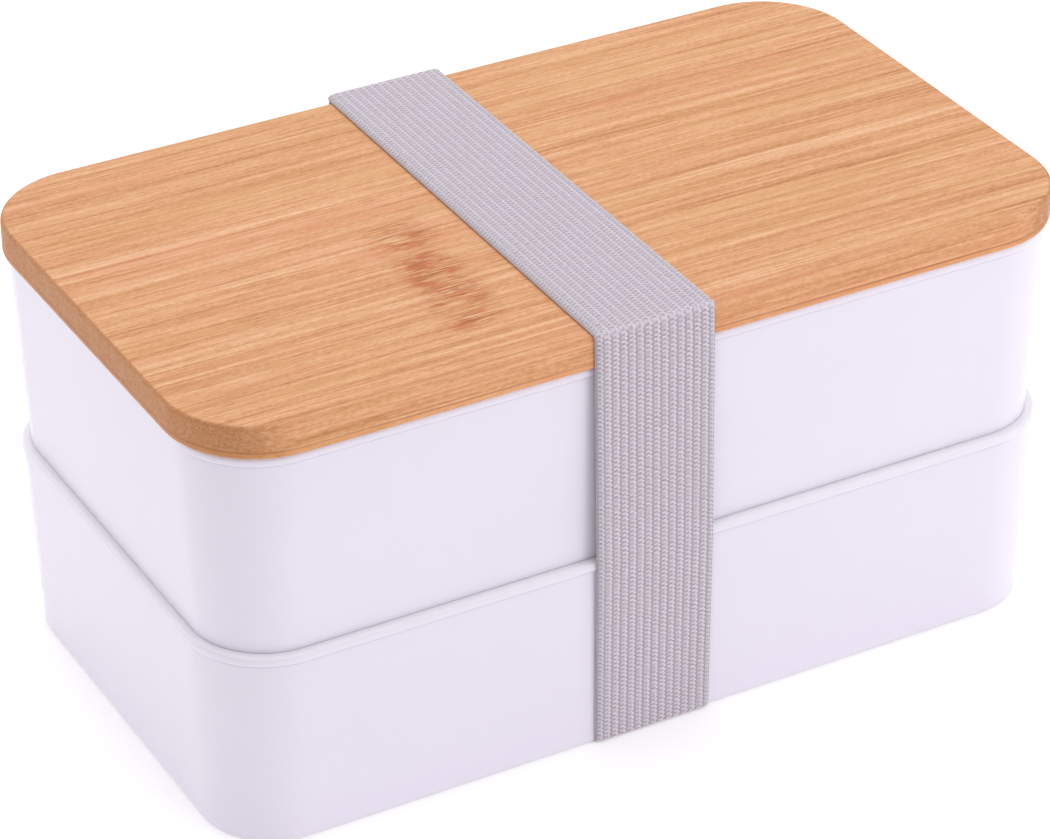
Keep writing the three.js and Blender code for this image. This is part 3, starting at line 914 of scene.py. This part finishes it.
def knitting(travelled, stitch, in_rib, rib_number):
    """The knitted face: how high it stands off the webbing, and its painted light and shade, 0 to 1.

    A rib is two columns of loops. The left loops are round, each over a pit in painted shade. The
    right ones lie half a stitch further on, and a taut strand runs slanting down from one to the
    other.
    """
    rng = np.random.default_rng(KNIT_SEED)
    rows = len(travelled)
    blocks = rows // STITCH_SAMPLES + 1
    uneven = rng.normal(0, 1, (2, blocks, ALL_RIBS))
    uneven = np.repeat(uneven, STITCH_SAMPLES, axis=1)[:, :rows][:, :, rib_number]
    lag = np.cumsum(rng.uniform(*LAG, ALL_RIBS))[rib_number]
    slant = 0.5 * smooth((in_rib - STRAND_START) / STRAND_REACH)
    loops = np.cos(2 * math.pi * (stitch - lag - slant + UNEVEN_PLACE * uneven[0]))
    loops = loops * (1 + UNEVEN_STRENGTH * uneven[1])
    swing = humps(in_rib, LOOP_COLUMNS) + LOOPS_EVERYWHERE
    ridges = humps(in_rib, RIDGES)
    valley = np.abs(in_rib) ** VALLEY_POWER

    # Over the lid the ribs are stretched flat, and each fold at its edges shows pale dashes.
    _, _, out_y, out_z = band_at(travelled)
    ribbing = 1 - (1 - TOP_RIBS) * np.clip(out_z, 0, 1)
    ribs = RIB_RELIEF * (1 - ribbing * np.abs(in_rib) ** RIB_POWER)
    height = ribs + LOOP_RELIEF * (loops * swing + ridges)
    turning = out_z - np.abs(out_y)
    fold = hump(turning, 0, FOLD_WIDTH)
    height = height + (FOLD_RELIEF - height) * fold
    # Painted highlight on the crests of loops and ridges, painted shade in pits and in the valleys
    # between ribs; the valleys' shade is weaker over the lid and gone on the fold.
    knit_shading = 0.5 + LOOP_SHADING * loops * swing + RIDGE_SHADING * ridges
    knit_shading = knit_shading - VALLEY_SHADE * valley * ribbing * (1 - fold)
    wave = 0.5 + 0.5 * np.cos(2 * math.pi * (in_rib - DASH_PLACE))
    dashes = DASHES_DARKEST + (1 - DASHES_DARKEST) * wave
    knit_shading = knit_shading + (dashes - knit_shading) * hump(turning, 0, DASHES_WIDTH)
    return height, np.clip(knit_shading, 0, 1)


def fold_corner(travelled):
    """How far past its rounded bend the webbing's outer face is folded sharp at the lid's edges."""
    _, _, out_y, out_z = band_at(travelled)
    square = (CREASE_ROUND + BAND_THICK) * (1 / np.maximum(np.abs(out_y), np.abs(out_z)) - 1)
    return np.where(out_z > 0, CREASE_SHARP * square, 0)


def build_band():
    across, in_rib, rib_number = band_columns()
    strip = BAND_LENGTH + LAP_LENGTH
    travelled, stitch = band_rows(strip)
    height, knit_shading = knitting(travelled, stitch, in_rib, rib_number)

    _, _, _, out_z = band_at(travelled)
    # Under the lower box the webbing is pressed thin enough to lie between the box and the table.
    pressed = (bottom("lower_box") - TOUCH) / TALLEST
    flattening = 1 - (1 - pressed) * np.clip(-out_z, 0, 1)
    thick = (BAND_THICK - RIB_RELIEF) * flattening
    under = TOUCH + lap_lift(travelled)
    from_edge = np.minimum(across, BAND_WIDTH - across)
    drop = EDGE_DROP * np.clip(1 - from_edge / EDGE_RIB, 0, 1) ** 2
    offset = under + thick + (height - drop) * flattening + fold_corner(travelled)
    outer = band_place(across[None, :], travelled, offset)
    picot = PICOT * np.cos(2 * math.pi * stitch[:, 0])
    outer[:, 0, 0] -= LEFT_PICOT * picot
    outer[:, -1, 0] += picot

    inner_across = np.linspace(0, BAND_WIDTH, ALL_RIBS)
    inner = band_place(inner_across[None, :], travelled, under)
    left, right = (band_place(np.array([[side]]), travelled, under + thick / 3)
                   for side in (-PICOT, BAND_WIDTH + PICOT))
    sections = np.concatenate([inner, right, outer[:, ::-1], left], axis=1)
    band = skin("elastic_band_webbing", sections.tolist())

    # Painted light and shade at each point: the knitted face's from knitting(), and a darker tone as
    # painted shade on the backing and edges.
    shown = np.full(sections.shape[:2], BACKING_AND_EDGE_SHADE)
    tinted = np.zeros(sections.shape[:2])
    first = inner.shape[1] + 1
    face = slice(first, first + len(across))
    shown[:, face] = knit_shading[:, ::-1]
    tinted[:, face] = ((rib_number == 0) | (rib_number == ALL_RIBS - 1))[::-1]
    for name, values in (("knit_shading", shown), ("selvedge", tinted)):
        attribute = band.data.attributes.new(name, "FLOAT", "POINT")
        attribute.data.foreach_set("value", values.ravel().astype(np.float32))
    place(band, "elastic_band", "elastic_band", webbing)


THREAD_RADIUS = 0.25 * MM
STITCH_RUNS = 11
STITCH_MARGIN = 1.6 * MM
RUN_STEPS = 8
# How far the thread rises over the webbing and dives into it, as a share of its radius.
THREAD_DIVE = 0.8


def tube(name, centres, radius, sides=8):
    """A round tube along a path, capped at both ends."""
    centres = [Vector(centre) for centre in centres]
    sections = []
    side = Vector((0, 1, 0))
    for i, centre in enumerate(centres):
        ahead = (centres[min(i + 1, len(centres) - 1)] - centres[max(i - 1, 0)]).normalized()
        side = (side - ahead * side.dot(ahead)).normalized()
        other = ahead.cross(side)
        angles = [2 * math.pi * k / sides for k in range(sides)]
        sections.append([centre + radius * (math.cos(a) * side + math.sin(a) * other) for a in angles])
    return skin(name, sections)


def build_seam(node):
    """A zigzag thread over the overlap, diving into the webbing at each turn."""
    low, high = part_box(node)
    middle = BAND_LENGTH + (low.z + high.z) / 2 - LAP_LOW_Z
    swing = (high.z - low.z) / 2 - THREAD_RADIUS
    run = BAND_WIDTH - 2 * STITCH_MARGIN
    centres = []
    for step in range(STITCH_RUNS * RUN_STEPS + 1):
        part = step / RUN_STEPS
        within = part % 1
        up = 1 - 2 * within if int(part) % 2 == 0 else 2 * within - 1
        arch = math.sin(math.pi * within)
        across = STITCH_MARGIN + run * part / STITCH_RUNS
        offset = TOUCH + 2 * BAND_THICK + THREAD_RADIUS * THREAD_DIVE * (2 * arch - 1)
        travelled = np.array(middle + swing * up)
        centres.append(band_place(np.array(across), travelled, offset))
    place(tube(node + "_thread", centres, THREAD_RADIUS), node, "elastic_band", thread)


build_band()
build_seam("band_stitch_upper")
build_seam("band_stitch_lower")

# ---- Floor, light and camera --------------------------------------------------------------------

FLOOR_SIZE = 8.0
WORLD_STRENGTH = 0.45
# Each lamp: azimuth and elevation in degrees, distance and size in metres, and power in watts.
SOFTBOXES = {
    "softbox_right": (46, 20, 0.8, (0.7, 0.6), 1.75),
    "softbox_left": (-140, 20, 0.9, (0.8, 0.7), 1.7),
    "softbox_top": (-20, 78, 1.8, (1.6, 1.6), 11.6),
    "softbox_back": (160, 50, 1.4, (1.2, 0.9), 5.2),
}
# The camera: the point it aims at, its distance, its focal length, and its angles in degrees.
CAMERA_AIM = Vector((-1.8 * MM, -1.1 * MM, 42.25 * MM))
CAMERA_DISTANCE = 0.8154
CAMERA_LENS = 142.8
CAMERA_AZIMUTH = -28.79
CAMERA_ELEVATION = 31.40
CAMERA_ROLL = -0.374


def direction(azimuth, elevation):
    """Towards a viewer at an azimuth and an elevation; azimuth 0 stands in front, at -Y."""
    a, e = math.radians(azimuth), math.radians(elevation)
    return Vector((math.sin(a) * math.cos(e), -math.cos(a) * math.cos(e), math.sin(e)))


def build_floor():
    half = FLOOR_SIZE / 2
    corners = [(-half, -half, 0), (half, -half, 0), (half, half, 0), (-half, half, 0)]
    floor = mesh_object("floor", corners, [(0, 1, 2, 3)])
    shader = Shader("floor", Base_Color=srgb(252, 252, 252), Roughness=0.9, Specular_IOR_Level=0.1,
                    Emission_Color=srgb(255, 255, 255), Emission_Strength=0.2)
    floor.data.materials.append(shader.material)


def softbox(name, azimuth, elevation, distance, size, power):
    """A rectangular lamp that faces the frame's origin."""
    lamp = bpy.data.lights.new(name, "AREA")
    lamp.shape = "RECTANGLE"
    lamp.size, lamp.size_y = size
    lamp.energy = power
    holder = bpy.data.objects.new(name, lamp)
    towards = direction(azimuth, elevation)
    holder.location = towards * distance
    holder.rotation_euler = towards.to_track_quat("Z", "Y").to_euler()
    bpy.context.collection.objects.link(holder)


def build_light():
    world = bpy.data.worlds.new("studio")
    bpy.context.scene.world = world
    world.use_nodes = True
    background = world.node_tree.nodes["Background"]
    background.inputs["Color"].default_value = srgb(250, 250, 255)
    background.inputs["Strength"].default_value = WORLD_STRENGTH
    for name, settings in SOFTBOXES.items():
        softbox(name, *settings)


def build_camera():
    lens = bpy.data.cameras.new("camera")
    lens.lens = CAMERA_LENS
    lens.clip_start = 0.01
    camera = bpy.data.objects.new("camera", lens)
    back = direction(CAMERA_AZIMUTH, CAMERA_ELEVATION)
    camera.location = CAMERA_AIM + back * CAMERA_DISTANCE
    level = (-back).to_track_quat("-Z", "Y").to_matrix()
    roll = Matrix.Rotation(math.radians(CAMERA_ROLL), 3, "Z")
    camera.rotation_euler = (level @ roll).to_euler()
    bpy.context.collection.objects.link(camera)
    bpy.context.scene.camera = camera


build_floor()
build_light()
build_camera()
bpy.context.scene.view_settings.view_transform = "Standard"
